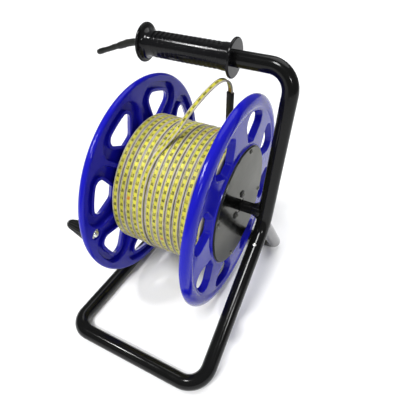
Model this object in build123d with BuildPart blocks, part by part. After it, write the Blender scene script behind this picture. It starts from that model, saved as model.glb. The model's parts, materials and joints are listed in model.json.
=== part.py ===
"""Portable tape reel: a plastic spool of flat graduated tape on a bent-tube stand.

X runs along the axle towards the upright, -Y is the front, +Z is up.
The origin is on the floor, below the middle of the spool.
"""

import os
from math import cos, radians, sin, tan

from build123d import *

# ---- driving dimensions (mm) -------------------------------------------------
TUBE_R = 10.0                 # frame tube
TUBE_WALL = 1.5
WELD_GAP = 0.02               # between pieces of one body that are welded or pressed
AXLE_Z = 164.0                # axle above the floor
AXLE_R = 8.0                  # stub between the upright and the spool
AXLE_BORE_R = 5.0
JOURNAL_R = 7.5               # inside the spool
STUD_R = 6.0                  # threaded end
END_WASHER_R, END_WASHER_T = 14.0, 2.0
END_NUT_FLAT_R, END_NUT_R, END_NUT_H = 9.5, 10.3, 7.5

UPRIGHT_X = 117.0             # plane of the upright and of both right legs
LEFT_RAIL_X = -85.5
FRONT_Y = -186.5
REAR_Y = 110.0
KNEE = Vector(UPRIGHT_X, -3.0, 146.0)  # virtual corner below the axle
HANDLE_Y, HANDLE_Z = 29.0, 350.0
HANDLE_END_X = -78.0
TOP_BEND_R = 29.0
KNEE_BEND_R = 45.0
CORNER_BEND_R = 24.0
LEG_BEND_R = 30.0
JOINT_DISTANCE = 38.0         # from the knee corner to the leg joint
SPIGOT_LENGTH = 16.0
SPIGOT_WALL = 1.6
JOINT_SCREW_BACK = 6.0        # from the leg joint up to its screw
JOINT_HEAD_R = 2.9
JOINT_SHANK_R = 1.6
GUSSET_LENGTH = 17.0
GUSSET_T = 5.0

FLANGE_R = 150.0
FLANGE_IN = 66.0              # inner face, from the spool's middle
FLANGE_OUT = 78.0             # crown of the rim
FLANGE_FLAT = 76.5            # flat outer face inside the rim
RIM_START_R = 133.0
RIM_CROWN_R = 139.0
RIM_INNER_R = 4.0             # rounding of the rim's inner edge
WINDOWS = 8
WINDOW_PHASE = 28.0           # first window, degrees from +Y towards +Z
WINDOW_IN_R, WINDOW_OUT_R = 88.0, 130.5
WINDOW_HALF_ANGLE = 17.0      # at the outer end
WINDOW_HALF_WIDTH = 10.0      # at the inner end
POCKET_IN_R, POCKET_OUT_R = 80.5, 140.0
POCKET_FLOOR = 72.5
POCKET_RIDGE = 5.0            # ridge between neighbouring pockets
POCKET_TAPER = 20.0
LIP_TOP = 67.5                # raised ring round each window
FUNNEL_TAPER = 31.0           # windows narrow inwards
LAND_IN_R, LAND_OUT_R = 68.0, 84.5     # raised ring under the cover plate
WEB_OUT = 70.5                # recessed web inside the land
HUB_R = 25.0
HUB_IN, HUB_OUT = 52.0, 78.8
RIB_T = 3.0
CORE_R = 75.0
CORE_WALL = 3.0
LOCATING_LIP = 4.0
BUSH_R = 11.0
BUSH_IN, BUSH_OUT = 58.0, 77.5
RUNNING_FIT = 0.05            # radial clearance of a turning fit

GASKET_R, GASKET_T = 84.2, 0.9
PLATE_R, PLATE_T = 83.0, 1.5
PLATE_BORE_R = 10.6
COVER_SCREW_R = 77.5          # pitch radius
COVER_SCREW_PHASE = 75.0
HUB_SCREW_R = 17.5
HUB_SCREW_PHASE = 81.0
TIE_R = 56.0                  # pitch radius of the tie bolts
TIE_COUNT = 4
TIE_BOLT_R = 3.0

TAPE_W = 9.6
TAPE_T = 2.4
SLEEVE_W, SLEEVE_T = 11.0, 7.6
WIND_R = 95.5
WIND_TURNS = 13

CRANK_R = 131.0               # crank axis from the axle
CRANK_ANGLE = 185.5
CRANK_BOLT_R = 2.5
CRANK_BOSS_R = 8.5
CRANK_SEAT_DEPTH = 3.5        # counterbore of the crank screw in the left flange
SPINDLE_R = 4.5
SPINDLE_OUT = 110.3
SPINDLE_CAP_R = 5.4
SPINDLE_CAP_T = 2.0
KNOB_R = 13.0                 # beside the flange
KNOB_TIP_R = 6.6
KNOB_SKIRT = 2.5
KNOB_IN, KNOB_OUT = 78.5, 110.0
KNOB_FLUTES = 18
FLUTE_R, FLUTE_DEPTH = 1.3, 0.9

GRIP_X0, GRIP_X1 = -80.0, 46.0
GRIP_CORE_R = 14.2
GRIP_RIB_R = 16.0
GRIP_DISC_R = 24.0
GRIP_PANEL_H = 22.0           # plain panels along the front and the back
RIB_COUNT = 15
RIB_PITCH = 6.3
RIB_X0 = -60.0
HOOK_R = 4.4

# ---- frames of reference -----------------------------------------------------
AXLE = Axis((0, 0, AXLE_Z), (1, 0, 0))
# sketch plane whose x runs along the axle and whose y is the radius
AXIAL = Plane(origin=(0, 0, AXLE_Z), x_dir=(1, 0, 0), z_dir=(0, -1, 0))
HANDLE_AXIS = Axis((0, HANDLE_Y, HANDLE_Z), (1, 0, 0))
HANDLE_AXIAL = Plane(origin=(0, HANDLE_Y, HANDLE_Z), x_dir=(1, 0, 0), z_dir=(0, -1, 0))


def across(x, y=0.0, z=AXLE_Z):
    """Plane square to X: its x is +Y, its y is +Z and it faces +X."""
    return Plane(origin=(x, y, z), x_dir=(0, 1, 0), z_dir=(1, 0, 0))


def ring(x0, x1, r_in, r_out):
    """Rectangle in the current axial sketch: half section of a ring."""
    with Locations(((x0 + x1) / 2, (r_in + r_out) / 2)):
        Rectangle(x1 - x0, r_out - r_in)


def around(phase, count, pitch_r):
    """Locations of equal holes on a pitch circle round the axle."""
    return PolarLocations(pitch_r, count, start_angle=phase)


def tube_along(points, radii, r_out, r_in=0.0):
    """Round bar or tube along straight runs joined by bends."""
    with BuildPart() as tube:
        with BuildLine() as route:
            FilletPolyline(*points, radius=radii)
        with BuildSketch(Plane(origin=route.line @ 0, z_dir=route.line % 0)):
            Circle(r_out)
            if r_in > 0:
                Circle(r_in, mode=Mode.SUBTRACT)
        sweep()
    return tube.part


def dome_screw(head_r, head_h, shank_r, shank_l):
    """Socket screw on the XY plane, dome upwards and shank downwards."""
    with BuildPart() as one:
        with BuildSketch(Plane.XZ):
            with BuildLine():
                rim_h = head_h * 0.3
                Polyline((0, -shank_l), (shank_r, -shank_l), (shank_r, 0), (head_r, 0), (head_r, rim_h))
                ThreePointArc((head_r, rim_h), (head_r * 0.72, head_h * 0.78), (head_r * 0.3, head_h))
                Polyline((head_r * 0.3, head_h), (0, head_h), (0, -shank_l))
            make_face()
        revolve(axis=Axis.Z)
        with BuildSketch(Plane.XY.offset(head_h)):
            RegularPolygon(head_r * 0.42, 6)
        extrude(amount=-head_h * 0.6, mode=Mode.SUBTRACT)
    return one.part


os.makedirs("parts", exist_ok=True)

# ---- stand: bent tubes -------------------------------------------------------
leg_foot = Vector(UPRIGHT_X, FRONT_Y, TUBE_R)
leg_dir = (leg_foot - KNEE).normalized()
joint = KNEE + leg_dir * JOINT_DISTANCE
rear_foot = Vector(UPRIGHT_X, REAR_Y, TUBE_R)

handle_route = [(HANDLE_END_X, HANDLE_Y, HANDLE_Z), (UPRIGHT_X, HANDLE_Y, HANDLE_Z), KNEE, joint]
handle_bends = [TOP_BEND_R, KNEE_BEND_R]
base_route = [
    joint,
    leg_foot,
    (LEFT_RAIL_X, FRONT_Y, TUBE_R),
    (LEFT_RAIL_X, REAR_Y, TUBE_R),
    rear_foot,
    KNEE,
]
base_bends = [LEG_BEND_R, CORNER_BEND_R, CORNER_BEND_R, LEG_BEND_R]
upright_envelope = tube_along(handle_route, handle_bends, TUBE_R + WELD_GAP)
base_envelope = tube_along(base_route, base_bends, TUBE_R + WELD_GAP)

# dome-head screw through the leg joint, square to the leg
screw_dir = Vector(0, leg_dir.Z, -leg_dir.Y)
screw_seat = joint - leg_dir * JOINT_SCREW_BACK + screw_dir * (TUBE_R - TUBE_WALL / 2)
SCREW_PLANE = Plane(origin=screw_seat, x_dir=(1, 0, 0), z_dir=screw_dir)

with BuildPart() as frame_joint_screw:
    add(SCREW_PLANE.location * dome_screw(JOINT_HEAD_R, 2.6, JOINT_SHANK_R, 6.0))
frame_joint_screw.part.label = "frame_joint_screw"
export_step(frame_joint_screw.part, "parts/frame_joint_screw.step")

with BuildPart() as upright_tube:
    add(tube_along(handle_route, handle_bends, TUBE_R, TUBE_R - TUBE_WALL))
    with BuildSketch(SCREW_PLANE):
        Circle(JOINT_HEAD_R + WELD_GAP)
    extrude(amount=TUBE_R, mode=Mode.SUBTRACT)
    with BuildSketch(SCREW_PLANE):
        Circle(JOINT_SHANK_R + WELD_GAP)
    extrude(amount=-TUBE_R / 2, mode=Mode.SUBTRACT)
upright_tube.part.label = "upright_tube"
export_step(upright_tube.part, "parts/upright_tube.step")

with BuildPart() as base_tube:
    add(tube_along(base_route, base_bends, TUBE_R, TUBE_R - TUBE_WALL))
    add(upright_envelope, mode=Mode.SUBTRACT)
    with BuildSketch(Plane(origin=joint, x_dir=(1, 0, 0), z_dir=leg_dir)):
        Circle(TUBE_R - TUBE_WALL / 2)
        Circle(TUBE_R - TUBE_WALL - SPIGOT_WALL, mode=Mode.SUBTRACT)
    extrude(amount=2 * TUBE_WALL)
    with BuildSketch(Plane(origin=joint, x_dir=(1, 0, 0), z_dir=leg_dir)):
        Circle(TUBE_R - TUBE_WALL - WELD_GAP)
        Circle(TUBE_R - TUBE_WALL - SPIGOT_WALL, mode=Mode.SUBTRACT)
    extrude(amount=-SPIGOT_LENGTH)
    with BuildSketch(SCREW_PLANE):
        Circle(JOINT_SHANK_R + WELD_GAP)
    extrude(amount=-TUBE_R / 2, mode=Mode.SUBTRACT)
base_tube.part.label = "base_tube"
export_step(base_tube.part, "parts/base_tube.step")

# ---- stand: axle -------------------------------------------------------------
shoulder_x = BUSH_OUT + 1.7
journal_end_x = -(HUB_OUT + 0.4)
stud_end_x = journal_end_x - 11.5

with BuildPart() as axle_shaft:
    with BuildSketch(AXIAL):
        ring(shoulder_x, UPRIGHT_X, AXLE_BORE_R, AXLE_R)
        ring(journal_end_x + 10, shoulder_x, AXLE_BORE_R, JOURNAL_R)
        ring(journal_end_x, journal_end_x + 10, 0, JOURNAL_R)
        ring(stud_end_x, journal_end_x, 0, STUD_R)
    revolve(axis=AXLE)
    chamfer(axle_shaft.edges().sort_by(Axis.X)[0], 1.0)
    add(upright_envelope, mode=Mode.SUBTRACT)
axle_shaft.part.label = "axle_shaft"
export_step(axle_shaft.part, "parts/axle_shaft.step")

with BuildPart() as axle_gussets:
    with BuildSketch(Plane(origin=(UPRIGHT_X, 0, AXLE_Z), x_dir=(-1, 0, 0), z_dir=(0, 1, 0))):
        with BuildLine():
            reach = TUBE_R + GUSSET_LENGTH
            rise = AXLE_R + GUSSET_LENGTH
            Line((0, 0), (reach, 0))
            Line((reach, 0), (reach, AXLE_R + 0.6))
            TangentArc((reach, AXLE_R + 0.6), (TUBE_R, rise), tangent=(-1, 0))
            Polyline((TUBE_R, rise), (0, rise), (0, 0))
        make_face()
        mirror(about=Plane.XZ)
    extrude(amount=GUSSET_T / 2, both=True)
    add(upright_envelope, mode=Mode.SUBTRACT)
    add(base_envelope, mode=Mode.SUBTRACT)
    with BuildSketch(across(0)):
        Circle(AXLE_R + WELD_GAP)
    extrude(amount=2 * UPRIGHT_X, mode=Mode.SUBTRACT)
    split(bisect_by=across(UPRIGHT_X - 1), keep=Keep.BOTTOM)
axle_gussets.part.label = "axle_gussets"
export_step(axle_gussets.part, "parts/axle_gussets.step")

with BuildPart() as axle_inner_washer:
    with BuildSketch(AXIAL):
        ring(BUSH_OUT + 0.15, shoulder_x - 0.05, JOURNAL_R + RUNNING_FIT, PLATE_BORE_R - 0.4)
    revolve(axis=AXLE)
axle_inner_washer.part.label = "axle_inner_washer"
export_step(axle_inner_washer.part, "parts/axle_inner_washer.step")

washer_x = journal_end_x - 0.02
with BuildPart() as axle_end_washer:
    with BuildSketch(AXIAL):
        ring(washer_x - END_WASHER_T, washer_x, STUD_R + WELD_GAP, END_WASHER_R)
    revolve(axis=AXLE)
    rims = axle_end_washer.edges().filter_by(GeomType.CIRCLE)
    chamfer(rims.group_by(SortBy.RADIUS)[-1], 0.4)
axle_end_washer.part.label = "axle_end_washer"
export_step(axle_end_washer.part, "parts/axle_end_washer.step")

nut_x = washer_x - END_WASHER_T - WELD_GAP
nut_end_x = nut_x - END_NUT_H
with BuildPart() as axle_end_nut:
    with BuildSketch(across(nut_x)):
        RegularPolygon(END_NUT_FLAT_R, 6, major_radius=False)
        Circle(STUD_R + WELD_GAP, mode=Mode.SUBTRACT)
    extrude(amount=-END_NUT_H)
    with BuildSketch(AXIAL):
        with BuildLine():
            Polyline((nut_end_x, STUD_R), (nut_x, STUD_R), (nut_x, END_NUT_R), (nut_end_x + 0.6, END_NUT_R))
            Polyline((nut_end_x + 0.6, END_NUT_R), (nut_end_x, END_NUT_R - 1), (nut_end_x, STUD_R))
        make_face()
    revolve(axis=AXLE, mode=Mode.INTERSECT)
axle_end_nut.part.label = "axle_end_nut"
export_step(axle_end_nut.part, "parts/axle_end_nut.step")

# ---- stand: grip, plug and hook ----------------------------------------------
with BuildPart() as grip:
    with BuildSketch(HANDLE_AXIAL):
        ring(GRIP_X0, GRIP_X1, TUBE_R + WELD_GAP, GRIP_CORE_R)
        ring(GRIP_X1 - 15, GRIP_X1 - 2, TUBE_R + 1, GRIP_RIB_R + 0.4)
        with Locations((GRIP_X1 - 2, (TUBE_R + GRIP_DISC_R) / 2)):
            RectangleRounded(4, GRIP_DISC_R - TUBE_R - 1, 1.6)
        with BuildLine():
            disc_r = GRIP_DISC_R - 1.8
            Polyline((GRIP_X0, TUBE_R + 1), (GRIP_X0, disc_r))
            ThreePointArc((GRIP_X0, disc_r), (GRIP_X0 + 1.8, GRIP_DISC_R), (GRIP_X0 + 3.6, disc_r))
            Spline((GRIP_X0 + 3.6, disc_r), (GRIP_X0 + 16, GRIP_RIB_R - 0.5), tangents=[(0.1, -1), (1, 0)])
            Polyline((GRIP_X0 + 16, GRIP_RIB_R - 0.5), (GRIP_X0 + 16, TUBE_R + 1), (GRIP_X0, TUBE_R + 1))
        make_face()
        for rib in range(RIB_COUNT):
            with Locations((RIB_X0 + RIB_PITCH * rib, (GRIP_CORE_R + GRIP_RIB_R) / 2 - 0.5)):
                RectangleRounded(3.6, GRIP_RIB_R - GRIP_CORE_R + 1, 0.9)
    revolve(axis=HANDLE_AXIS)
    # plain panels along the front and the back
    # plain panels along the front and the back
    with BuildSketch(across(RIB_X0 - 5, HANDLE_Y, HANDLE_Z)):
        Circle(GRIP_RIB_R - 0.3)
        Circle(GRIP_CORE_R - 2, mode=Mode.SUBTRACT)
        Rectangle(4 * GRIP_RIB_R, GRIP_PANEL_H, mode=Mode.INTERSECT)
    extrude(amount=RIB_PITCH * RIB_COUNT + 2)
grip.part.label = "grip"
export_step(grip.part, "parts/grip.step")

with BuildPart() as tube_end_plug:
    with BuildSketch(HANDLE_AXIAL):
        ring(HANDLE_END_X - 1, HANDLE_END_X + 12, HOOK_R + WELD_GAP, TUBE_R - TUBE_WALL - WELD_GAP)
        ring(HANDLE_END_X - 3, HANDLE_END_X - WELD_GAP, HOOK_R + WELD_GAP, TUBE_R)
    revolve(axis=HANDLE_AXIS)
    chamfer(tube_end_plug.edges().filter_by(GeomType.CIRCLE).group_by(Axis.X)[0][-1], 0.8)
tube_end_plug.part.label = "tube_end_plug"
export_step(tube_end_plug.part, "parts/tube_end_plug.step")

hook_route = [
    (HANDLE_END_X + 10, HANDLE_Y, HANDLE_Z),
    (HANDLE_END_X - 16, HANDLE_Y, HANDLE_Z),
    (HANDLE_END_X - 52, HANDLE_Y, HANDLE_Z - 14),
    (HANDLE_END_X - 84, HANDLE_Y, HANDLE_Z - 26),
]
with BuildPart() as hook_arm:
    add(tube_along(hook_route, [40, 60], HOOK_R))
    fillet(hook_arm.edges().filter_by(GeomType.CIRCLE).sort_by(Axis.X)[0], 1.4)
hook_arm.part.label = "hook_arm"
export_step(hook_arm.part, "parts/hook_arm.step")

# ---- spool: moulded flanges --------------------------------------------------
half_sector = radians(180 / WINDOWS)
with BuildSketch() as window_outline:
    with BuildLine():
        far = Vector(WINDOW_OUT_R, 0).rotate(Axis.Z, WINDOW_HALF_ANGLE)
        near = Vector(WINDOW_IN_R, WINDOW_HALF_WIDTH)
        Polyline((far.X, -far.Y), (near.X, -near.Y), (near.X, near.Y), (far.X, far.Y))
        ThreePointArc((far.X, far.Y), (WINDOW_OUT_R, 0), (far.X, -far.Y))
    make_face()
    fillet(window_outline.vertices().group_by(Axis.X)[-1], 14)
    fillet(window_outline.vertices().group_by(Axis.X)[0], 9)

with BuildPart() as window_funnel:
    with BuildSketch():
        add(window_outline.sketch)
    extrude(amount=FLANGE_IN - FLANGE_FLAT, taper=FUNNEL_TAPER)

with BuildSketch() as pocket_outline:
    Circle(POCKET_OUT_R)
    Circle(POCKET_IN_R, mode=Mode.SUBTRACT)
    with BuildLine():
        apex = POCKET_RIDGE / 2 / sin(half_sector)
        side = Vector(apex + 2 * FLANGE_R * cos(half_sector), 2 * FLANGE_R * sin(half_sector))
        Polyline((apex, 0), (side.X, side.Y), (side.X, -side.Y), (apex, 0))
    make_face(mode=Mode.INTERSECT)
    fillet(pocket_outline.vertices().group_by(Axis.X)[-1], 26)
    fillet(pocket_outline.vertices().group_by(Axis.X)[0], 6)

with BuildPart() as pocket_core:
    with BuildSketch():
        add(pocket_outline.sketch)
    extrude(amount=POCKET_FLOOR - FLANGE_IN, taper=POCKET_TAPER)


def window_edges(part, x):
    """Edges at a given height that run round the windows or pockets."""
    level = part.edges().filter_by_position(Axis.X, x - 0.01, x + 0.01)
    return level.filter_by(lambda edge: (edge.center() - Vector(x, 0, AXLE_Z)).length > LAND_OUT_R)


def moulded_flange():
    """Right-hand flange: windows, inner pockets, land for a plate and ribbed hub."""
    with BuildPart() as flange:
        with BuildSketch(AXIAL):
            with BuildLine():
                core_in = CORE_R - CORE_WALL - WELD_GAP
                lip_x = FLANGE_IN - LOCATING_LIP
                Polyline((FLANGE_FLAT, RIM_START_R), (FLANGE_FLAT, LAND_OUT_R + 0.8), (FLANGE_OUT, LAND_OUT_R))
                Polyline((FLANGE_OUT, LAND_OUT_R), (FLANGE_OUT, LAND_IN_R), (WEB_OUT, LAND_IN_R - 1))
                Polyline((WEB_OUT, LAND_IN_R - 1), (WEB_OUT, HUB_R), (HUB_OUT, HUB_R - 1), (HUB_OUT, BUSH_R))
                Polyline((HUB_OUT, BUSH_R), (HUB_IN, BUSH_R), (HUB_IN, HUB_R - 1), (FLANGE_IN, HUB_R))
                Polyline((FLANGE_IN, HUB_R), (FLANGE_IN, core_in - 4), (lip_x, core_in - 3))
                Polyline((lip_x, core_in - 3), (lip_x, core_in - 0.5), (FLANGE_IN, core_in))
                Line((FLANGE_IN, core_in), (FLANGE_IN, FLANGE_R - RIM_INNER_R))
                CenterArc((FLANGE_IN + RIM_INNER_R, FLANGE_R - RIM_INNER_R), RIM_INNER_R, 180, -90)
                EllipticalCenterArc(
                    (FLANGE_IN + RIM_INNER_R, RIM_CROWN_R),
                    FLANGE_OUT - FLANGE_IN - RIM_INNER_R,
                    FLANGE_R - RIM_CROWN_R,
                    start_angle=0,
                    arc_size=90,
                )
                TangentArc((FLANGE_OUT, RIM_CROWN_R), (FLANGE_FLAT, RIM_START_R), tangent=(0, -1))
            make_face()
        revolve(axis=AXLE)
        with Locations(across(FLANGE_IN)):
            with around(WINDOW_PHASE, WINDOWS, 0):
                add(pocket_core.part, mode=Mode.SUBTRACT)
        with BuildSketch(across(LIP_TOP)):
            with around(WINDOW_PHASE, WINDOWS, 0):
                add(window_outline.sketch)
        extrude(amount=POCKET_FLOOR - LIP_TOP + 0.5)
        with Locations(across(FLANGE_FLAT)):
            with around(WINDOW_PHASE, WINDOWS, 0):
                add(window_funnel.part, mode=Mode.SUBTRACT)
        fillet(window_edges(flange, FLANGE_FLAT), 1.5)
        fillet(window_edges(flange, LIP_TOP), 1.0)
        fillet(window_edges(flange, FLANGE_IN), 1.5)
        with BuildSketch(across(WEB_OUT - 0.5)):
            with around(WINDOW_PHASE, WINDOWS, (HUB_R + LAND_IN_R) / 2):
                Rectangle(LAND_IN_R - HUB_R + 2, RIB_T)
        extrude(amount=FLANGE_FLAT - WEB_OUT)
        with BuildSketch(across(WEB_OUT - 0.5)):
            with around(WINDOW_PHASE + 22.5, TIE_COUNT, TIE_R):
                Circle(7)
        extrude(amount=2.5)
        with BuildSketch(across(0)):
            with around(WINDOW_PHASE + 22.5, TIE_COUNT, TIE_R):
                Circle(TIE_BOLT_R + WELD_GAP)
            with around(HUB_SCREW_PHASE, 3, HUB_SCREW_R):
                Circle(1.6 + WELD_GAP)
        extrude(amount=FLANGE_OUT + 5, mode=Mode.SUBTRACT)
        with BuildSketch(across(FLANGE_OUT)):
            with around(COVER_SCREW_PHASE, 4, COVER_SCREW_R):
                Circle(1.6 + WELD_GAP)
        extrude(amount=-9, mode=Mode.SUBTRACT)
    return flange.part


with BuildPart() as right_flange:
    add(moulded_flange())
right_flange.part.label = "right_flange"
export_step(right_flange.part, "parts/right_flange.step")

crank_y = CRANK_R * cos(radians(CRANK_ANGLE))
crank_z = AXLE_Z + CRANK_R * sin(radians(CRANK_ANGLE))
CRANK_AXIS = Axis((0, crank_y, crank_z), (1, 0, 0))
CRANK_AXIAL = Plane(origin=(0, crank_y, crank_z), x_dir=(1, 0, 0), z_dir=(0, -1, 0))

with BuildPart() as left_flange:
    mirror(right_flange.part, about=Plane.YZ)
    with BuildSketch(CRANK_AXIAL):
        ring(-FLANGE_OUT, -POCKET_FLOOR + 3.0, 0, CRANK_BOSS_R)
    revolve(axis=CRANK_AXIS)
    with BuildSketch(CRANK_AXIAL):
        ring(-FLANGE_IN - CRANK_SEAT_DEPTH, -FLANGE_IN + 1, 0, CRANK_BOSS_R - 0.5)
        ring(-FLANGE_OUT - 1, -FLANGE_IN, 0, CRANK_BOLT_R + WELD_GAP)
    revolve(axis=CRANK_AXIS, mode=Mode.SUBTRACT)
left_flange.part.label = "left_flange"
export_step(left_flange.part, "parts/left_flange.step")

# ---- spool: core, bushes, ties -----------------------------------------------
with BuildPart() as drum_core:
    with BuildSketch(AXIAL):
        ring(-FLANGE_IN + WELD_GAP, FLANGE_IN - WELD_GAP, CORE_R - CORE_WALL, CORE_R)
    revolve(axis=AXLE)
drum_core.part.label = "drum_core"
export_step(drum_core.part, "parts/drum_core.step")

with BuildPart() as right_bush:
    with BuildSketch(AXIAL):
        ring(BUSH_IN, BUSH_OUT, JOURNAL_R + RUNNING_FIT, BUSH_R - WELD_GAP)
    revolve(axis=AXLE)
    chamfer(right_bush.edges().filter_by(GeomType.CIRCLE), 0.4)
right_bush.part.label = "right_bush"
export_step(right_bush.part, "parts/right_bush.step")

with BuildPart() as left_bush:
    mirror(right_bush.part, about=Plane.YZ)
left_bush.part.label = "left_bush"
export_step(left_bush.part, "parts/left_bush.step")

tie_seat_x = WEB_OUT + 2.0
with BuildPart() as tie_bolts:
    with BuildSketch(across(tie_seat_x + WELD_GAP)):
        with around(WINDOW_PHASE + 22.5, TIE_COUNT, TIE_R):
            RegularPolygon(5.0, 6, major_radius=False)
    extrude(amount=4.0)
    with BuildSketch(across(tie_seat_x + WELD_GAP)):
        with around(WINDOW_PHASE + 22.5, TIE_COUNT, TIE_R):
            Circle(TIE_BOLT_R)
    extrude(amount=-2 * tie_seat_x - 5.5)
tie_bolts.part.label = "tie_bolts"
export_step(tie_bolts.part, "parts/tie_bolts.step")

with BuildPart() as tie_nuts:
    with BuildSketch(across(-tie_seat_x - WELD_GAP)):
        with around(WINDOW_PHASE + 22.5, TIE_COUNT, TIE_R):
            RegularPolygon(5.0, 6, major_radius=False)
            Circle(TIE_BOLT_R + WELD_GAP, mode=Mode.SUBTRACT)
    extrude(amount=-4.5)
tie_nuts.part.label = "tie_nuts"
export_step(tie_nuts.part, "parts/tie_nuts.step")

# ---- spool: cover plate ------------------------------------------------------
gasket_x = FLANGE_OUT + WELD_GAP
plate_x = gasket_x + GASKET_T + WELD_GAP
plate_top = plate_x + PLATE_T
with BuildPart() as cover_gasket:
    with BuildSketch(across(gasket_x)):
        Circle(GASKET_R)
        Circle(LAND_IN_R + 2, mode=Mode.SUBTRACT)
        with around(COVER_SCREW_PHASE, 4, COVER_SCREW_R):
            Circle(1.6 + WELD_GAP, mode=Mode.SUBTRACT)
    extrude(amount=GASKET_T)
cover_gasket.part.label = "cover_gasket"
export_step(cover_gasket.part, "parts/cover_gasket.step")

with BuildPart() as hub_cover_plate:
    with BuildSketch(across(plate_x)):
        Circle(PLATE_R)
        Circle(PLATE_BORE_R, mode=Mode.SUBTRACT)
        with around(COVER_SCREW_PHASE, 4, COVER_SCREW_R):
            Circle(1.6 + WELD_GAP, mode=Mode.SUBTRACT)
        with around(HUB_SCREW_PHASE, 3, HUB_SCREW_R):
            Circle(1.6 + WELD_GAP, mode=Mode.SUBTRACT)
    extrude(amount=PLATE_T)
    rims = hub_cover_plate.edges().filter_by_position(Axis.X, plate_top - 0.01, plate_top + 0.01)
    fillet(rims.group_by(SortBy.RADIUS)[-1], 0.5)
hub_cover_plate.part.label = "hub_cover_plate"
export_step(hub_cover_plate.part, "parts/hub_cover_plate.step")

with BuildPart(across(plate_top + WELD_GAP)) as cover_screws:
    with around(COVER_SCREW_PHASE, 4, COVER_SCREW_R):
        add(dome_screw(3.2, 1.9, 1.6, 8.0))
cover_screws.part.label = "cover_screws"
export_step(cover_screws.part, "parts/cover_screws.step")

RING_H = 1.6
with BuildPart() as hub_screw_rings:
    with BuildSketch(across(plate_top + WELD_GAP)):
        with around(HUB_SCREW_PHASE, 3, HUB_SCREW_R):
            Circle(5.2)
            Circle(1.6 + WELD_GAP, mode=Mode.SUBTRACT)
    extrude(amount=RING_H)
    tops = hub_screw_rings.edges().filter_by_position(Axis.X, plate_top + RING_H, plate_top + RING_H + 0.1)
    fillet(tops.group_by(SortBy.RADIUS)[-1], 0.7)
hub_screw_rings.part.label = "hub_screw_rings"
export_step(hub_screw_rings.part, "parts/hub_screw_rings.step")

with BuildPart(across(plate_top + RING_H + 2 * WELD_GAP)) as hub_screws:
    with around(HUB_SCREW_PHASE, 3, HUB_SCREW_R):
        add(dome_screw(3.0, 1.8, 1.6, 14.0))
hub_screws.part.label = "hub_screws"
export_step(hub_screws.part, "parts/hub_screws.step")

# ---- crank -------------------------------------------------------------------
crank_seat_x = -FLANGE_IN - CRANK_SEAT_DEPTH
with BuildPart() as crank_washer:
    with BuildSketch(CRANK_AXIAL):
        ring(crank_seat_x + WELD_GAP, crank_seat_x + 1.2, CRANK_BOLT_R + WELD_GAP, 7.0)
    revolve(axis=CRANK_AXIS)
crank_washer.part.label = "crank_washer"
export_step(crank_washer.part, "parts/crank_washer.step")

with BuildPart(across(crank_seat_x + 1.2 + WELD_GAP, crank_y, crank_z)) as crank_screw:
    add(dome_screw(5.2, 3.4, CRANK_BOLT_R, 32.0))
crank_screw.part.label = "crank_screw"
export_step(crank_screw.part, "parts/crank_screw.step")

with BuildPart() as crank_spindle:
    with BuildSketch(CRANK_AXIAL):
        ring(-SPINDLE_OUT, -FLANGE_OUT - WELD_GAP, CRANK_BOLT_R + WELD_GAP, SPINDLE_R)
        ring(-SPINDLE_OUT - SPINDLE_CAP_T / 2, -SPINDLE_OUT, CRANK_BOLT_R + WELD_GAP, SPINDLE_CAP_R)
        ring(-SPINDLE_OUT - SPINDLE_CAP_T, -SPINDLE_OUT - SPINDLE_CAP_T / 2, 0, SPINDLE_CAP_R)
    revolve(axis=CRANK_AXIS)
    chamfer(crank_spindle.edges().filter_by(GeomType.CIRCLE).group_by(Axis.X)[0][-1], 0.6)
crank_spindle.part.label = "crank_spindle"
export_step(crank_spindle.part, "parts/crank_spindle.step")

# groove along the cone of the knob
cone_dir = Vector(KNOB_OUT - KNOB_IN - KNOB_SKIRT, 0, KNOB_R - KNOB_TIP_R).normalized()
groove_start = Vector(-KNOB_OUT, 0, KNOB_TIP_R + FLUTE_R - FLUTE_DEPTH) - cone_dir * FLUTE_R
with BuildPart() as groove:
    with BuildSketch(Plane(origin=groove_start, z_dir=cone_dir)):
        Circle(FLUTE_R)
    extrude(amount=KNOB_OUT - KNOB_IN)

with BuildPart() as crank_knob:
    with BuildSketch(CRANK_AXIAL):
        with BuildLine():
            Polyline((-KNOB_OUT, 0), (-KNOB_OUT, KNOB_TIP_R - 1.2), (-KNOB_OUT + 1.5, KNOB_TIP_R))
            Polyline((-KNOB_OUT + 1.5, KNOB_TIP_R), (-KNOB_IN - KNOB_SKIRT, KNOB_R), (-KNOB_IN - 1, KNOB_R))
            Polyline((-KNOB_IN - 1, KNOB_R), (-KNOB_IN, KNOB_R - 1), (-KNOB_IN, 0), (-KNOB_OUT, 0))
        make_face()
    revolve(axis=CRANK_AXIS)
    with Locations((0, crank_y, crank_z)):
        for flute in range(KNOB_FLUTES):
            add(groove.part.rotate(Axis.X, 360 / KNOB_FLUTES * flute), mode=Mode.SUBTRACT)
    with BuildSketch(CRANK_AXIAL):
        ring(-KNOB_OUT - 1, -KNOB_IN + 1, 0, SPINDLE_R + RUNNING_FIT)
    revolve(axis=CRANK_AXIS, mode=Mode.SUBTRACT)
crank_knob.part.label = "crank_knob"
export_step(crank_knob.part, "parts/crank_knob.step")

# ---- tape --------------------------------------------------------------------
wind_half = FLANGE_IN - 0.6
turn_pitch = 2 * wind_half / WIND_TURNS
with BuildPart() as tape_winding:
    with BuildSketch(AXIAL):
        ring(-wind_half, wind_half, CORE_R + WELD_GAP, WIND_R - TAPE_T)
        with GridLocations(turn_pitch, 0, WIND_TURNS, 1):
            with Locations((0, WIND_R - 1.5 * TAPE_T)):
                RectangleRounded(TAPE_W, 3 * TAPE_T, 1.0)
    revolve(axis=AXLE)
tape_winding.part.label = "tape_winding"
export_step(tape_winding.part, "parts/tape_winding.step")

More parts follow.
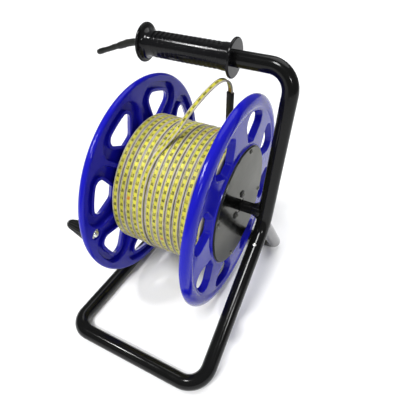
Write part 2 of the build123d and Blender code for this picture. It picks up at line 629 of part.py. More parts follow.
# the free end stands in a vertical plane turned from the turns; distance along it, height
LEAD_START = Vector(-11.3, -35.8, 0)
LEAD_AZIMUTH = 57.0
lead_profile = [(0, 256.2), (13, 268), (35, 293.5), (58, 313.5), (76, 323.5), (89.2, 317), (90, 303.5)]
lead_dir = Vector(cos(radians(LEAD_AZIMUTH)), sin(radians(LEAD_AZIMUTH)), 0)
lead_side = lead_dir.cross(Vector(0, 0, 1))
lead_route = [LEAD_START + lead_dir * s + Vector(0, 0, z) for s, z in lead_profile]


def bend_radii(route):
    """Largest arc at each corner that leaves room for its neighbours."""
    radii = []
    for before, corner, after in zip(route, route[1:], route[2:]):
        run_in, run_out = corner - before, after - corner
        half_turn = radians(run_in.get_angle(run_out) / 2)
        radii.append(0.45 * min(run_in.length, run_out.length) / tan(half_turn))
    return radii


lead_radii = bend_radii(lead_route)
print("tape lead bend radii", [round(radius, 1) for radius in lead_radii])
with BuildPart() as tape_lead:
    with BuildLine() as lead_line:
        FilletPolyline(*lead_route, radius=lead_radii)
    with BuildSketch(Plane(origin=lead_route[0], x_dir=lead_side, z_dir=lead_line.line % 0)):
        Rectangle(TAPE_W, TAPE_T)
    sweep()
tape_lead.part.label = "tape_lead"
export_step(tape_lead.part, "parts/tape_lead.step")
lead_length = lead_line.wire().length
print("tape lead length", round(lead_length, 1))
print("volume", round(tape_lead.part.volume), "section x length", round(TAPE_W * TAPE_T * lead_length))

sleeve_foot = LEAD_START + lead_dir * 91.3 + Vector(0, 0, 259.0)
sleeve_dir = (sleeve_foot - lead_route[-1]).normalized()
SLEEVE_TOP = Plane(origin=lead_route[-1] + sleeve_dir * WELD_GAP, x_dir=lead_side, z_dir=sleeve_dir)
sleeve_length = (sleeve_foot - lead_route[-1]).length
with BuildPart() as tape_sleeve:
    with BuildSketch(SLEEVE_TOP):
        RectangleRounded(SLEEVE_W, SLEEVE_T, SLEEVE_T / 2 - 0.4)
    extrude(amount=sleeve_length)
    chamfer(tape_sleeve.faces().sort_by(Axis.Z)[-1].edges(), 0.5)
tape_sleeve.part.label = "tape_sleeve"
export_step(tape_sleeve.part, "parts/tape_sleeve.step")

SLEEVE_FOOT = SLEEVE_TOP.offset(sleeve_length + WELD_GAP)
with BuildPart() as tape_end_fitting:
    with BuildSketch(SLEEVE_FOOT):
        with Locations((0, 2.0)):
            RectangleRounded(8.0, 10.0, 2.0)
    extrude(amount=2.6)
    fillet(tape_end_fitting.faces().sort_by(Axis.Z)[0].edges(), 0.8)
tape_end_fitting.part.label = "tape_end_fitting"
export_step(tape_end_fitting.part, "parts/tape_end_fitting.step")
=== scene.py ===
"""Looks of the portable tape reel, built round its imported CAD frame."""

import json
import math

import bpy
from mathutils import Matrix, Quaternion, Vector, noise


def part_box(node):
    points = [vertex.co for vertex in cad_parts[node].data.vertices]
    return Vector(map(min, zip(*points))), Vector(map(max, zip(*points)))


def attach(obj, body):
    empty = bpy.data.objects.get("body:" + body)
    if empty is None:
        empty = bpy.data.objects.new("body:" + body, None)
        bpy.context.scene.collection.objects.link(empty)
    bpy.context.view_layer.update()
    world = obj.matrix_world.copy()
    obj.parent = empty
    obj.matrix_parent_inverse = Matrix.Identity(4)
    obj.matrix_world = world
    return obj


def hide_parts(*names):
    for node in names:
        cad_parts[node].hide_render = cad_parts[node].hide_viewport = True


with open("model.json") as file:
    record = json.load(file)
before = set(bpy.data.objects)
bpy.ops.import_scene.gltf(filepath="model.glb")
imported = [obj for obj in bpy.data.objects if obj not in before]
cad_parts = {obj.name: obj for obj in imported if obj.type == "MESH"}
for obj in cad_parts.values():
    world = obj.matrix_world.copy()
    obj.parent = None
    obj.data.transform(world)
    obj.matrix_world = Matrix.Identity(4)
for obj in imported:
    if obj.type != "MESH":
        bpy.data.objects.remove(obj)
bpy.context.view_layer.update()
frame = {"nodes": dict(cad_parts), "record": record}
MM = 0.001

# ---- places taken from the frame ----------------------------------------------
JOINTS = {joint["name"]: joint for joint in frame["record"]["behaviour"]["joints"]}
AXLE_Z = JOINTS["reel_spin"]["pos_m"][2]
WIND_LOW, WIND_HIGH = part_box("tape_winding")
CORE_LOW, CORE_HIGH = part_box("drum_core")

# ---- camera -------------------------------------------------------------------
CAMERA_PLACE = (0.2134, -0.3934, 0.4977)
CAMERA_AZIMUTH, CAMERA_ELEVATION, CAMERA_ROLL = 26.45, 38.44, 1.25
CAMERA_LENS, SENSOR = 34.5, 36.0      # mm


def add_camera():
    """Camera at the photograph's viewing angle, without depth of field."""
    data = bpy.data.cameras.new("camera")
    data.lens, data.sensor_width = CAMERA_LENS, SENSOR
    camera = bpy.data.objects.new("camera", data)
    bpy.context.collection.objects.link(camera)
    azimuth, elevation = math.radians(CAMERA_AZIMUTH), math.radians(CAMERA_ELEVATION)
    turn = Quaternion((0, 0, 1), azimuth) @ Quaternion((1, 0, 0), math.pi / 2 - elevation)
    camera.rotation_mode = "QUATERNION"
    camera.rotation_quaternion = turn @ Quaternion((0, 0, 1), math.radians(CAMERA_ROLL))
    camera.location = CAMERA_PLACE
    bpy.context.scene.camera = camera


add_camera()


# ---- floor and light ----------------------------------------------------------
FLOOR_HALF, FLOOR_Z = 4.0, -0.0004
SURROUNDINGS_COLOUR, SURROUNDINGS_STRENGTH = (0.95, 0.97, 1.0, 1), 0.26
SPARK_SIZE = 0.12


def add_lamp(name, kind, place, energy, **settings):
    """Lamp at a place, turned to the middle of the spool."""
    data = bpy.data.lights.new(name, kind)
    data.energy = energy
    for setting, value in settings.items():
        setattr(data, setting, value)
    lamp = bpy.data.objects.new(name, data)
    lamp.location = place
    lamp.rotation_mode = "QUATERNION"
    lamp.rotation_quaternion = (Vector((0, 0, AXLE_Z)) - Vector(place)).to_track_quat("-Z", "Y")
    bpy.context.collection.objects.link(lamp)


def add_studio():
    """Pale floor, dim surroundings behind a white backdrop, two broad suns and two small lamps."""
    bpy.context.scene.view_settings.view_transform = "Standard"
    world = bpy.data.worlds.new("studio")
    world.use_nodes = True
    tree = world.node_tree
    surroundings = tree.nodes["Background"]
    surroundings.inputs["Color"].default_value = SURROUNDINGS_COLOUR
    surroundings.inputs["Strength"].default_value = SURROUNDINGS_STRENGTH
    backdrop = tree.nodes.new("ShaderNodeBackground")
    backdrop.inputs["Color"].default_value = (1, 1, 1, 1)
    seen = tree.nodes.new("ShaderNodeLightPath")
    choice = tree.nodes.new("ShaderNodeMixShader")
    tree.links.new(seen.outputs["Is Camera Ray"], choice.inputs[0])
    tree.links.new(surroundings.outputs[0], choice.inputs[1])
    tree.links.new(backdrop.outputs[0], choice.inputs[2])
    tree.links.new(choice.outputs[0], tree.nodes["World Output"].inputs["Surface"])
    bpy.context.scene.world = world
    add_lamp("key", "SUN", (0.0, -1.15, 2.1), 2.5, angle=math.radians(16))
    add_lamp("back", "SUN", (0.3, 1.2, 2.6), 1.3, angle=math.radians(50))
    add_lamp("spark_left", "AREA", (-0.6, -0.6, 1.4), 7.5, size=SPARK_SIZE)
    add_lamp("spark_right", "AREA", (1.0, -0.9, 1.0), 3.5, size=SPARK_SIZE)
    mesh = bpy.data.meshes.new("floor")
    signs = ((-1, -1), (1, -1), (1, 1), (-1, 1))
    corners = [(x * FLOOR_HALF, y * FLOOR_HALF, FLOOR_Z) for x, y in signs]
    mesh.from_pydata(corners, [], [(0, 1, 2, 3)])
    floor = bpy.data.objects.new("floor", mesh)
    bpy.context.collection.objects.link(floor)
    mesh.materials.append(floor_material())


# ---- material helpers ---------------------------------------------------------
def material(name, colour, roughness, metallic=0.0):
    """New node material: (material, node tree, principled shader)."""
    made = bpy.data.materials.new(name)
    made.use_nodes = True
    tree = made.node_tree
    shader = tree.nodes["Principled BSDF"]
    shader.inputs["Base Color"].default_value = (*colour, 1)
    shader.inputs["Roughness"].default_value = roughness
    shader.inputs["Metallic"].default_value = metallic
    return made, tree, shader


def noise_at(tree, scale, detail, stretch=(1, 1, 1)):
    """Noise in the object's own space; scale is in features per metre."""
    place = tree.nodes.new("ShaderNodeTexCoord")
    mapping = tree.nodes.new("ShaderNodeMapping")
    mapping.inputs["Scale"].default_value = stretch
    grain = tree.nodes.new("ShaderNodeTexNoise")
    grain.inputs["Scale"].default_value = scale
    grain.inputs["Detail"].default_value = detail
    tree.links.new(place.outputs["Object"], mapping.inputs["Vector"])
    tree.links.new(mapping.outputs["Vector"], grain.inputs["Vector"])
    return grain.outputs["Fac"]


NOISE_LOW, NOISE_HIGH = 0.3, 0.7      # where most values of a noise texture lie


def spread(tree, value, low, high):
    """Maps a noise value to the range from low to high."""
    node = tree.nodes.new("ShaderNodeMapRange")
    node.inputs["From Min"].default_value = NOISE_LOW
    node.inputs["From Max"].default_value = NOISE_HIGH
    node.inputs["To Min"].default_value = low
    node.inputs["To Max"].default_value = high
    tree.links.new(value, node.inputs["Value"])
    return node.outputs["Result"]


def blend_colours(tree, factor, first, second):
    """Colour between two, by a 0 to 1 factor; each is a colour or a socket."""
    node = tree.nodes.new("ShaderNodeMix")
    node.data_type = "RGBA"
    tree.links.new(factor, node.inputs["Factor"])
    for socket, colour in ((node.inputs[6], first), (node.inputs[7], second)):
        if isinstance(colour, tuple):
            socket.default_value = (*colour, 1)
        else:
            tree.links.new(colour, socket)
    return node.outputs[2]


def add_bump(tree, shader, height, distance, strength=1.0, below=None):
    """Bump on a shader, on top of another bump if one is given."""
    bump = tree.nodes.new("ShaderNodeBump")
    bump.inputs["Strength"].default_value = strength
    bump.inputs["Distance"].default_value = distance
    tree.links.new(height, bump.inputs["Height"])
    if below is not None:
        tree.links.new(below, bump.inputs["Normal"])
    tree.links.new(bump.outputs["Normal"], shader.inputs["Normal"])
    return bump.outputs["Normal"]


def moulded(name, colour, tint, roughness, grain, depth, specular):
    """Everyday surface: slightly uneven colour, gloss and relief."""
    made, tree, shader = material(name, colour, sum(roughness) / 2)
    shader.inputs["Specular IOR Level"].default_value = specular
    cloud = noise_at(tree, 18, 4)
    shade = blend_colours(tree, spread(tree, cloud, 0, 1), colour, tint)
    tree.links.new(shade, shader.inputs["Base Color"])
    tree.links.new(spread(tree, noise_at(tree, 60, 5), *roughness), shader.inputs["Roughness"])
    add_bump(tree, shader, noise_at(tree, grain, 2), depth)
    return made


def floor_material():
    """Matt white sweep."""
    white = (0.9, 0.9, 0.9)
    made, tree, shader = material("floor_white", white, 0.7)
    cloud = noise_at(tree, 3, 2)
    shade = blend_colours(tree, spread(tree, cloud, 0, 1), white, (0.88, 0.88, 0.885))
    tree.links.new(shade, shader.inputs["Base Color"])
    return made


def flange_material():
    """Glossy blue injection moulding with faint flow marks."""
    made, tree, shader = material("flange_blue", (0.02, 0.022, 0.5), 0.15)
    shader.inputs["Specular IOR Level"].default_value = 0.18
    cloud = noise_at(tree, 10, 4)
    shade = blend_colours(tree, spread(tree, cloud, 0, 1), (0.009, 0.009, 0.40), (0.006, 0.005, 0.29))
    tree.links.new(shade, shader.inputs["Base Color"])
    tree.links.new(spread(tree, noise_at(tree, 45, 5), 0.08, 0.16), shader.inputs["Roughness"])
    relief = add_bump(tree, shader, noise_at(tree, 60, 2), 0.0002, 0.25)
    add_bump(tree, shader, noise_at(tree, 2500, 2), 0.00002, below=relief)
    return made


def plate_material():
    """Dark polished plate: mirror-like, with fine scratches along one direction."""
    made, tree, shader = material("cover_grey", (0.15, 0.15, 0.13), 0.12, metallic=1.0)
    shader.inputs["Specular Tint"].default_value = (0.62, 0.62, 0.62, 1)
    streaks = noise_at(tree, 260, 4, (1, 0.06, 1))
    cloud = noise_at(tree, 25, 4)
    shade = blend_colours(tree, spread(tree, cloud, 0, 1), (0.125, 0.125, 0.108), (0.085, 0.086, 0.074))
    tree.links.new(shade, shader.inputs["Base Color"])
    tree.links.new(spread(tree, streaks, 0.08, 0.2), shader.inputs["Roughness"])
    add_bump(tree, shader, streaks, 0.000008)
    return made


def metal_material(name, colour, roughness):
    """Plated metal with turning marks."""
    made, tree, shader = material(name, colour, sum(roughness) / 2, metallic=1.0)
    tree.links.new(spread(tree, noise_at(tree, 700, 3, (1, 4, 1)), *roughness), shader.inputs["Roughness"])
    darker = tuple(c * 0.8 for c in colour)
    shade = blend_colours(tree, spread(tree, noise_at(tree, 120, 3), 0, 1), colour, darker)
    tree.links.new(shade, shader.inputs["Base Color"])
    add_bump(tree, shader, noise_at(tree, 1800, 2, (1, 6, 1)), 0.00001)
    return made


# two colours, lowest and highest roughness, relief (features per metre, depth in m), specular level
PLASTICS = {
    "tube_paint": ((0.003, 0.003, 0.003), (0.005, 0.005, 0.005), (0.09, 0.16), 300, 0.00003, 0.2),
    "grip_black": ((0.003, 0.003, 0.0035), (0.006, 0.006, 0.0065), (0.08, 0.16), 1400, 0.00004, 0.22),
    "plug_black": ((0.01, 0.01, 0.01), (0.02, 0.02, 0.02), (0.4, 0.55), 900, 0.00005, 0.5),
    "hook_black": ((0.004, 0.0045, 0.004), (0.014, 0.015, 0.012), (0.3, 0.5), 700, 0.0003, 0.2),
    "core_plastic": ((0.02, 0.02, 0.4), (0.02, 0.02, 0.3), (0.4, 0.5), 900, 0.00005, 0.5),
    "bush_nylon": ((0.7, 0.69, 0.62), (0.6, 0.58, 0.5), (0.4, 0.5), 900, 0.00005, 0.5),
    "gasket_black": ((0.008, 0.008, 0.008), (0.016, 0.016, 0.016), (0.5, 0.7), 900, 0.00005, 0.5),
    "knob_black": ((0.003, 0.003, 0.003), (0.007, 0.007, 0.007), (0.16, 0.28), 1500, 0.00005, 0.2),
    "sleeve_black": ((0.006, 0.006, 0.006), (0.014, 0.014, 0.013), (0.3, 0.45), 900, 0.0001, 0.22),
}
# colour, lowest and highest roughness
METALS = {
    "zinc": ((0.6, 0.6, 0.57), (0.3, 0.45)),
    "chrome": ((0.85, 0.85, 0.82), (0.08, 0.18)),
    "cover_fixings": ((0.22, 0.22, 0.20), (0.22, 0.35)),
    "spindle_steel": ((0.45, 0.45, 0.44), (0.25, 0.4)),
}
MATERIALS = {name: moulded(name, *finish) for name, finish in PLASTICS.items()}
MATERIALS.update({name: metal_material(name, *finish) for name, finish in METALS.items()})
MATERIALS["flange_blue"] = flange_material()
MATERIALS["cover_grey"] = plate_material()


# ---- printed tape: material -----------------------------------------------------
SEGMENTS = {
    # lit digits, then low and high corner in the digit's own square
    "top": ("02356789", (0.0, 0.74), (1.0, 1.0)),
    "upper_right": ("01234789", (0.54, 0.5), (1.0, 1.0)),
    "lower_right": ("013456789", (0.54, 0.0), (1.0, 0.5)),
    "bottom": ("0235689", (0.0, 0.0), (1.0, 0.26)),
    "lower_left": ("0268", (0.0, 0.0), (0.46, 0.5)),
    "upper_left": ("045689", (0.0, 0.5), (0.46, 1.0)),
    "middle": ("2345689", (0.0, 0.38), (1.0, 0.64)),
}


def calc(tree, operation, *values):
    """Math node on numbers and sockets."""
    node = tree.nodes.new("ShaderNodeMath")
    node.operation = operation
    for socket, value in zip(node.inputs, values):
        if isinstance(value, (int, float)):
            socket.default_value = value
        else:
            tree.links.new(value, socket)
    return node.outputs[0]


def between(tree, value, low, high):
    """1 where low < value < high."""
    above = calc(tree, "GREATER_THAN", value, low)
    return calc(tree, "MULTIPLY", above, calc(tree, "LESS_THAN", value, high))


def any_of(tree, masks):
    """1 where any mask is 1."""
    total = masks[0]
    for mask in masks[1:]:
        total = calc(tree, "MAXIMUM", total, mask)
    return total


def digit_mask(tree, u, v, digit):
    """Seven-bar figure in the unit square, for a digit socket."""
    address = calc(tree, "DIVIDE", calc(tree, "ADD", digit, 0.5), 10)
    bars = []
    for lit, low, high in SEGMENTS.values():
        ramp = tree.nodes.new("ShaderNodeValToRGB")
        ramp.color_ramp.interpolation = "CONSTANT"
        stops = ramp.color_ramp.elements
        stops.remove(stops[1])
        state = "0" in lit
        stops[0].position = 0
        stops[0].color = (state,) * 3 + (1,)
        for figure in range(1, 10):
            if (str(figure) in lit) != state:
                state = not state
                stops.new(figure / 10).color = (state,) * 3 + (1,)
        tree.links.new(address, ramp.inputs["Fac"])
        place = calc(tree, "MULTIPLY", between(tree, u, low[0], high[0]), between(tree, v, low[1], high[1]))
        bars.append(calc(tree, "MULTIPLY", place, ramp.outputs["Color"]))
    return any_of(tree, bars)


# print, in mm
FIGURE_W, FIGURE_H = 1.5, 4.6         # across and along the tape
FIGURE_RUN = 1.6                      # from the centimetre tick to its figures
TENS_ACROSS, UNITS_ACROSS = -1.75, 0.05
BAND_HALF = 2.75                      # half the width of the yellow band
# ticks: start and end along the tape, inner end across it
MILLIMETRE_TICK = (0.3, 0.6, 2.25)
HALF_TICK = (4.6, 5.3, 1.95)
CENTIMETRE_TICK = (0.1, 0.8, 1.6)


def tape_material():
    """Yellow printed band with centimetre figures and millimetre ticks, and milky edge beads."""
    made, tree, shader = material("tape_yellow", (0.7, 0.62, 0.12), 0.42)
    shader.inputs["Specular IOR Level"].default_value = 0.35
    place = tree.nodes.new("ShaderNodeAttribute")
    place.attribute_name = "tape_place"
    parts = tree.nodes.new("ShaderNodeSeparateXYZ")
    tree.links.new(place.outputs["Vector"], parts.inputs["Vector"])
    run = calc(tree, "MULTIPLY", parts.outputs["X"], 1000)
    across = calc(tree, "MULTIPLY", parts.outputs["Y"], 1000)
    centimetre = calc(tree, "FLOOR", calc(tree, "DIVIDE", run, 10))
    within = calc(tree, "SUBTRACT", run, calc(tree, "MULTIPLY", centimetre, 10))
    tick_at = calc(tree, "FRACT", run)
    ticks = []
    for source, tick in ((tick_at, MILLIMETRE_TICK), (within, HALF_TICK), (within, CENTIMETRE_TICK)):
        start, end, inner = tick
        length = between(tree, source, start, end)
        ticks.append(calc(tree, "MULTIPLY", length, between(tree, across, inner, BAND_HALF)))
    tens = calc(tree, "FLOOR", calc(tree, "DIVIDE", centimetre, 10))
    units = calc(tree, "SUBTRACT", centimetre, calc(tree, "MULTIPLY", tens, 10))
    metres = calc(tree, "FLOOR", calc(tree, "DIVIDE", tens, 10))
    tens = calc(tree, "SUBTRACT", tens, calc(tree, "MULTIPLY", metres, 10))
    v = calc(tree, "DIVIDE", calc(tree, "SUBTRACT", within, FIGURE_RUN), FIGURE_H)
    figures = []
    for digit, start in ((tens, TENS_ACROSS), (units, UNITS_ACROSS)):
        u = calc(tree, "DIVIDE", calc(tree, "SUBTRACT", across, start), FIGURE_W)
        figures.append(digit_mask(tree, u, v, digit))
    ink = any_of(tree, ticks + figures)
    band = calc(tree, "LESS_THAN", calc(tree, "ABSOLUTE", across), BAND_HALF)
    ink = calc(tree, "MULTIPLY", ink, band)
    full_metre = calc(tree, "LESS_THAN", calc(tree, "ADD", tens, units), 0.5)
    ink_colour = blend_colours(tree, full_metre, (0.012, 0.011, 0.008), (0.45, 0.03, 0.012))
    soil = spread(tree, noise_at(tree, 55, 5), 0, 1)
    yellow = blend_colours(tree, soil, (0.60, 0.56, 0.055), (0.44, 0.41, 0.05))
    haze = spread(tree, noise_at(tree, 120, 4), 0, 1)
    milky = blend_colours(tree, haze, (0.46, 0.42, 0.36), (0.27, 0.25, 0.20))
    ground = blend_colours(tree, band, milky, yellow)
    worn_ink = calc(tree, "MULTIPLY", ink, spread(tree, noise_at(tree, 900, 3), 0.85, 1.0))
    tree.links.new(blend_colours(tree, worn_ink, ground, ink_colour), shader.inputs["Base Color"])
    tree.links.new(spread(tree, noise_at(tree, 200, 4), 0.36, 0.52), shader.inputs["Roughness"])
    shader.inputs["Subsurface Weight"].default_value = 0.08
    shader.inputs["Subsurface Scale"].default_value = 0.001
    add_bump(tree, shader, noise_at(tree, 500, 3), 0.00005)
    return made


# ---- printed tape: shape --------------------------------------------------------
LAYERS, TURNS = 8, 13
LANE_START = 271.0                  # degrees from +Y towards +Z: where each turn starts
CROSSING = 0.16                     # last part of a turn, in which it moves over a lane
LAST_TURN_CUT = 0.33                # the top layer stops this much of a turn early
FIRST_RADIUS = CORE_HIGH[2] - AXLE_Z + 1.25 * MM
TOP_RADIUS = WIND_HIGH[2] - AXLE_Z - 1.3 * MM
LAYER_RISE = (TOP_RADIUS - FIRST_RADIUS) / (LAYERS - 1)
LANE_PITCH = (WIND_HIGH[0] - WIND_LOW[0]) / TURNS
OVER_RADIUS = TOP_RADIUS + 1.7 * MM   # the last turn rides on the top layer
OVER_LANE = -20.3 * MM
OVER_SETTLE = 20.0                  # degrees after a turn's start where it has reached that lane
OVER_CLIMB = 6                      # it has climbed on the top layer after one part in this many
LIFT_ANGLE = 174.0                  # where the last turn starts to swing to the free end
WOUND_WIDTH = 0.958                 # leaves a dark gap between the turns
LOOSE_LANE = 8.3                    # slack turn in the top layer, which lies lower
LOOSE_WIDTH, LOOSE_DROP = 0.7, 1.3 * MM
LOOSE_SWAY, LOOSE_WAVES = 1.2 * MM, 1.5
WANDER = 0.9 * MM                   # how far the other turns stray sideways
LEAN = 0.13                         # how far they lean, in radians
LEAD_LENGTH = 0.128

# steps per turn of the top two layers and of those below, then of the last turn's three stretches
FINE_STEPS, COARSE_STEPS = 120, 48
CROSS_STEPS, RIDE_STEPS, LIFT_STEPS = 60, 44, 44

# the free end stands in a vertical plane: distance along it and height, as in the CAD
LEAD_START = Vector((-11.3, -35.8, 0)) * MM
LEAD_AZIMUTH = math.radians(57)
LEAD_PROFILE = [(0, 256.2), (13, 268), (35, 293.5), (58, 313.5), (76, 323.5), (89.2, 317), (90, 303.5)]
LEAD_DIR = Vector((math.cos(LEAD_AZIMUTH), math.sin(LEAD_AZIMUTH), 0))
LEAD_SIDE = Vector((-LEAD_DIR.y, LEAD_DIR.x, 0))
LEAD_ROUTE = [LEAD_START + LEAD_DIR * s * MM + Vector((0, 0, z * MM)) for s, z in LEAD_PROFILE]


def tape_section(detailed):
    """Closed section of the tape, (across, height): two edge beads and a thinner web."""
    if detailed:
        half = [(4.8, 0), (4.62, 0.7), (4.1, 1.15), (3.6, 1.2), (3.2, 0.98), (2.95, 0.72)]
        half += [(1.5, 0.62), (0, 0.6)]
    else:
        half = [(4.8, 0), (4.3, 1.15), (3.0, 0.8)]
    top = half + [(-a, h) for a, h in reversed(half) if a > 0]
    under = [(a, -h) for a, h in reversed(top) if h > 0]
    return [(a * MM, h * MM) for a, h in top + under]


def ribbon(name, stations, detailed, width=1.0):
    """Tape along stations of (centre, across, outward, distance from the free end)."""
    section = [(a * width, h) for a, h in tape_section(detailed)]
    points, places = [], []
    for centre, across, outward, run in stations:
        for a, h in section:
            points.append(centre + across * a + outward * h)
            places.append((run, a, h))
    count, faces = len(section), []
    for row in range(len(stations) - 1):
        for column in range(count):
            beside = (column + 1) % count
            first, second = row * count, (row + 1) * count
            faces.append((first + column, second + column, second + beside, first + beside))
    faces.append(tuple(range(count)))
    faces.append(tuple(reversed(range((len(stations) - 1) * count, len(stations) * count))))
    mesh = bpy.data.meshes.new(name)
    mesh.from_pydata(points, [], faces)
    attribute = mesh.attributes.new("tape_place", "FLOAT_VECTOR", "POINT")
    attribute.data.foreach_set("vector", [number for place in places for number in place])
    for polygon in mesh.polygons:
        polygon.use_smooth = len(polygon.vertices) == 4
    piece = bpy.data.objects.new(name, mesh)
    bpy.context.collection.objects.link(piece)
    mesh.materials.append(MATERIALS["tape_yellow"])
    return piece


def on_drum(angle, x, radius):
    """Point at an angle in degrees from +Y towards +Z, round the axle."""
    turn = math.radians(angle)
    return Vector((x, radius * math.cos(turn), AXLE_Z + radius * math.sin(turn)))


def ease(value):
    """Smooth step from 0 to 1."""
    value = min(1, max(0, value))
    return value * value * (3 - 2 * value)


def lane_wander(lane, layer, angle):
    """How far a turn strays sideways; the top layer has one loose turn."""
    stray = noise.noise(Vector((lane * 3.7, layer * 1.9, angle / 70))) * WANDER
    if layer == LAYERS - 1:
        near = math.exp(-((lane - LOOSE_LANE) ** 2))
        stray += LOOSE_SWAY * near * math.sin(math.radians(angle) * LOOSE_WAVES)
    return stray


def wound_centres():
    """Centre line of all the layers: (angle, x, radius, layer) at each step."""
    centres = []
    for layer in range(LAYERS):
        top = layer == LAYERS - 1
        steps = FINE_STEPS if layer >= LAYERS - 2 else COARSE_STEPS
        count = int((TURNS - (LAST_TURN_CUT if top else 0)) * steps)
        for step in range(count):
            lane, part = step // steps, (step % steps) / steps
            shift = ease((part - 1 + CROSSING) / CROSSING)
            last_lane = lane == TURNS - 1
            position = lane + 0.5 + (0 if last_lane else shift)
            x = WIND_LOW[0] + LANE_PITCH * position
            angle = LANE_START - 360 * part
            x += lane_wander(lane + part, layer, angle) * (0 if last_lane or lane == 0 else 1)
            if layer % 2:
                x = WIND_LOW[0] + WIND_HIGH[0] - x
            radius = FIRST_RADIUS + LAYER_RISE * (layer + (shift if last_lane and not top else 0))
            if top:
                radius -= LOOSE_DROP * math.exp(-(((lane + part - LOOSE_LANE) / LOOSE_WIDTH) ** 2))
            centres.append((angle, x, radius, layer))
    return centres


def tape_stations():
    """Centres of the wound tape up to the start of the free end, and the layer of each."""
    centres = wound_centres()
    points = [on_drum(angle, x, radius) for angle, x, radius, layer in centres]
    layers = [entry[3] for entry in centres]
    leave, x, radius, _ = centres[-1]
    # over the back and underneath, from the last lane to the lane that the last turn rides on
    settle = LANE_START - 360 + OVER_SETTLE
    for step in range(1, CROSS_STEPS + 1):
        part = step / CROSS_STEPS
        climb = radius + (OVER_RADIUS - radius) * ease(part * OVER_CLIMB)
        points.append(on_drum(leave + (settle - leave) * part, x + (OVER_LANE - x) * ease(part), climb))
    settle += 360
    for step in range(1, RIDE_STEPS + 1):
        angle = settle + (LIFT_ANGLE - settle) * step / RIDE_STEPS
        points.append(on_drum(angle, OVER_LANE, OVER_RADIUS))
    # last stretch: leaves the drum and turns into the plane of the free end
    start, end = points[-1], LEAD_ROUTE[0]
    reach = (end - start).length
    start_dir = (points[-1] - points[-2]).normalized() * reach
    end_dir = (LEAD_ROUTE[1] - LEAD_ROUTE[0]).normalized() * reach
    for step in range(1, LIFT_STEPS + 1):
        t = step / LIFT_STEPS
        place = (
            start * (2 * t**3 - 3 * t**2 + 1)
            + start_dir * (t**3 - 2 * t**2 + t)
            + end * (3 * t**2 - 2 * t**3)
            + end_dir * (t**3 - t**2)
        )
        spoke = Vector((0, place.y, place.z - AXLE_Z))
        if spoke.length < OVER_RADIUS:
            spoke = spoke.normalized() * OVER_RADIUS
        points.append(Vector((place.x, spoke.y, AXLE_Z + spoke.z)))
    layers += [LAYERS] * (len(points) - len(layers))
    return points, layers


def line_length(points):
    """Length of a line through points."""
    return sum((second - first).length for first, second in zip(points, points[1:]))


def frames_along(points, lean):
    """(centre, across, outward, run) at each point; the last ones turn to the free end's plane."""
    stations, run = [], line_length(points) + LEAD_LENGTH
    for index, point in enumerate(points):
        before, after = points[max(0, index - 1)], points[min(len(points) - 1, index + 1)]
        if index:
            run -= (point - points[index - 1]).length
        along = (after - before).normalized()
        twist = ease(1 - (len(points) - 1 - index) / LIFT_STEPS)
        across = Vector((-1, 0, 0)).lerp(LEAD_SIDE, twist)
        across = (across - along * across.dot(along)).normalized()
        across = Quaternion(along, lean[index] * (1 - twist)) @ across
        stations.append((point, across, along.cross(across), run))
    return stations


def nurbs_line(points):
    """Points read from a NURBS route that has the given control points."""
    curve = bpy.data.curves.new("route", "CURVE")
    curve.dimensions = "3D"
    spline = curve.splines.new("NURBS")
    spline.points.add(len(points) - 1)
    for control, point in zip(spline.points, points):
        control.co = (*point, 1)
    spline.order_u = 3
    spline.use_endpoint_u = True
    spline.resolution_u = 16
    holder = bpy.data.objects.new("route", curve)
    line = [vertex.co.copy() for vertex in bpy.data.meshes.new_from_object(holder).vertices]
    bpy.data.objects.remove(holder)
    return line


def add_tape():
    """Wound tape and its free end."""
    points, layers = tape_stations()
    lean = []
    for index, point in enumerate(points):
        lean.append(LEAN * noise.noise(Vector((point.x * 90, index / 60, 5.0))))
    stations = frames_along(points, lean)
    split = layers.index(LAYERS - 1)
    inner = ribbon("wound_tape_inner", stations[: split + 1], False, WOUND_WIDTH)
    outer = ribbon("wound_tape_outer", stations[split:], True, WOUND_WIDTH)
    for piece in (inner, outer):
        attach(piece, "spool")
    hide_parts("tape_winding")
    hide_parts("tape_winding")
    run = stations[-1][3]
    line = nurbs_line(LEAD_ROUTE)
    lead_stations, length = [], 0.0
    for index, point in enumerate(line):
        before, after = line[max(0, index - 1)], line[min(len(line) - 1, index + 1)]
        if index:
            length += (point - line[index - 1]).length
        along = (after - before).normalized()
        lead_stations.append((point, LEAD_SIDE, along.cross(LEAD_SIDE), run - length))
    lead = ribbon("tape_free_end", lead_stations, True)
    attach(lead, "spool")
    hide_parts("tape_lead")


MATERIALS["tape_yellow"] = tape_material()
add_tape()


# ---- hook arm ---------------------------------------------------------------------
HOOK_ROUTE = [(-68, 29, 350), (-94, 29, 350), (-130, 29, 336), (-162, 29, 324)]
# part of the length, radius in mm: thick sleeve first, then a thinner blunt end
HOOK_RADII = [(0, 3.9), (0.16, 4.4), (0.42, 4.7), (0.56, 4.5)]
HOOK_RADII += [(0.60, 3.7), (0.80, 3.5), (0.93, 3.9), (0.985, 3.1), (1, 0.4)]
HOOK_SIDES = 20
LUMPS, LUMP_DEPTH = 140, 0.45         # per metre, and in mm


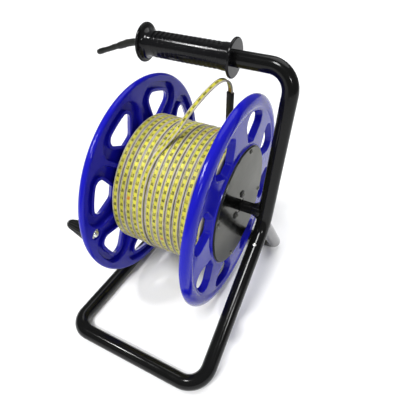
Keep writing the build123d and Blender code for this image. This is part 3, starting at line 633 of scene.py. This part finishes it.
def add_hook():
    """Rough dark arm beside the grip, thicker in its first half."""
    line = nurbs_line([Vector(point) * MM for point in HOOK_ROUTE])
    total, walked = line_length(line), 0.0
    points, faces = [], []
    for index, centre in enumerate(line):
        if index:
            walked += (centre - line[index - 1]).length
        part = walked / total
        for (p0, r0), (p1, r1) in zip(HOOK_RADII, HOOK_RADII[1:]):
            if p0 <= part <= p1 + 1e-6:
                radius = r0 + (r1 - r0) * ease((part - p0) / (p1 - p0))
        along = (line[min(index + 1, len(line) - 1)] - line[max(index - 1, 0)]).normalized()
        up = Vector((0, 1, 0)).cross(along)
        for side in range(HOOK_SIDES):
            turn = 2 * math.pi * side / HOOK_SIDES
            spoke = Vector((0, 1, 0)) * math.cos(turn) + up * math.sin(turn)
            lump = noise.noise((centre + spoke * radius * MM) * LUMPS) * LUMP_DEPTH * min(1, radius / 3)
            points.append(centre + spoke * (radius + lump) * MM)
    rows = len(line)
    for row in range(rows - 1):
        for side in range(HOOK_SIDES):
            beside = (side + 1) % HOOK_SIDES
            first, second = row * HOOK_SIDES, (row + 1) * HOOK_SIDES
            faces.append((first + side, first + beside, second + beside, second + side))
    faces.append(tuple(reversed(range(HOOK_SIDES))))
    faces.append(tuple(range((rows - 1) * HOOK_SIDES, rows * HOOK_SIDES)))
    mesh = bpy.data.meshes.new("hook_arm_rough")
    mesh.from_pydata(points, [], faces)
    for polygon in mesh.polygons:
        polygon.use_smooth = len(polygon.vertices) == 4
    piece = bpy.data.objects.new("hook_arm_rough", mesh)
    bpy.context.collection.objects.link(piece)
    mesh.materials.append(MATERIALS["hook_black"])
    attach(piece, "stand")
    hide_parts("hook_arm")


add_hook()


# ---- weld webs between axle and upright ---------------------------------------------
# in mm: along the axle, up the tube, half thickness, depth inside the axle, rounded edge
WEB_LENGTH, WEB_HEIGHT, WEB_HALF, WEB_ROOT, WEB_ROUNDING = 16.0, 15.0, 2.3, 2, 1.2
WEB_STEPS = 12
AXLE_R = 8.0


def add_weld_webs():
    """Two small concave webs, above and below the axle, in one piece."""
    tube_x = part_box("axle_gussets")[1][0]
    points, faces = [], []
    for side in (1, -1):
        first = len(points)
        outline = [(0, AXLE_R - WEB_ROOT), (0, AXLE_R + WEB_HEIGHT)]
        for step in range(1, WEB_STEPS + 1):
            turn = math.pi / 2 * step / WEB_STEPS
            height = AXLE_R + WEB_HEIGHT * (1 - math.sin(turn))
            outline.append((-WEB_LENGTH * (1 - math.cos(turn)), height))
        outline.append((-WEB_LENGTH, AXLE_R - WEB_ROOT))
        for y in (-WEB_HALF, WEB_HALF):
            points += [Vector((tube_x + x * MM, y * MM, AXLE_Z + side * z * MM)) for x, z in outline]
        count = len(outline)
        ring = [first + index for index in range(count)]
        faces.append(tuple(ring if side < 0 else reversed(ring)))
        faces.append(tuple(index + count for index in (reversed(ring) if side < 0 else ring)))
        for index in range(count):
            beside = (index + 1) % count
            quad = (first + index, first + beside, first + beside + count, first + index + count)
            faces.append(quad if side > 0 else tuple(reversed(quad)))
    mesh = bpy.data.meshes.new("axle_weld_webs")
    mesh.from_pydata(points, [], faces)
    piece = bpy.data.objects.new("axle_weld_webs", mesh)
    bpy.context.collection.objects.link(piece)
    rounding = piece.modifiers.new("rounding", "BEVEL")
    rounding.width, rounding.segments = WEB_ROUNDING * MM, 3
    mesh.materials.append(MATERIALS["tube_paint"])
    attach(piece, "stand")
    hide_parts("axle_gussets")


add_weld_webs()


def paint_frame():
    """Gives every CAD node the node material of its slot."""
    for subpart in frame["record"]["subparts"]:
        piece = frame["nodes"][subpart["node"]]
        for slot in piece.material_slots:
            slot.material = MATERIALS[subpart["material_slot"]]


paint_frame()
add_studio()
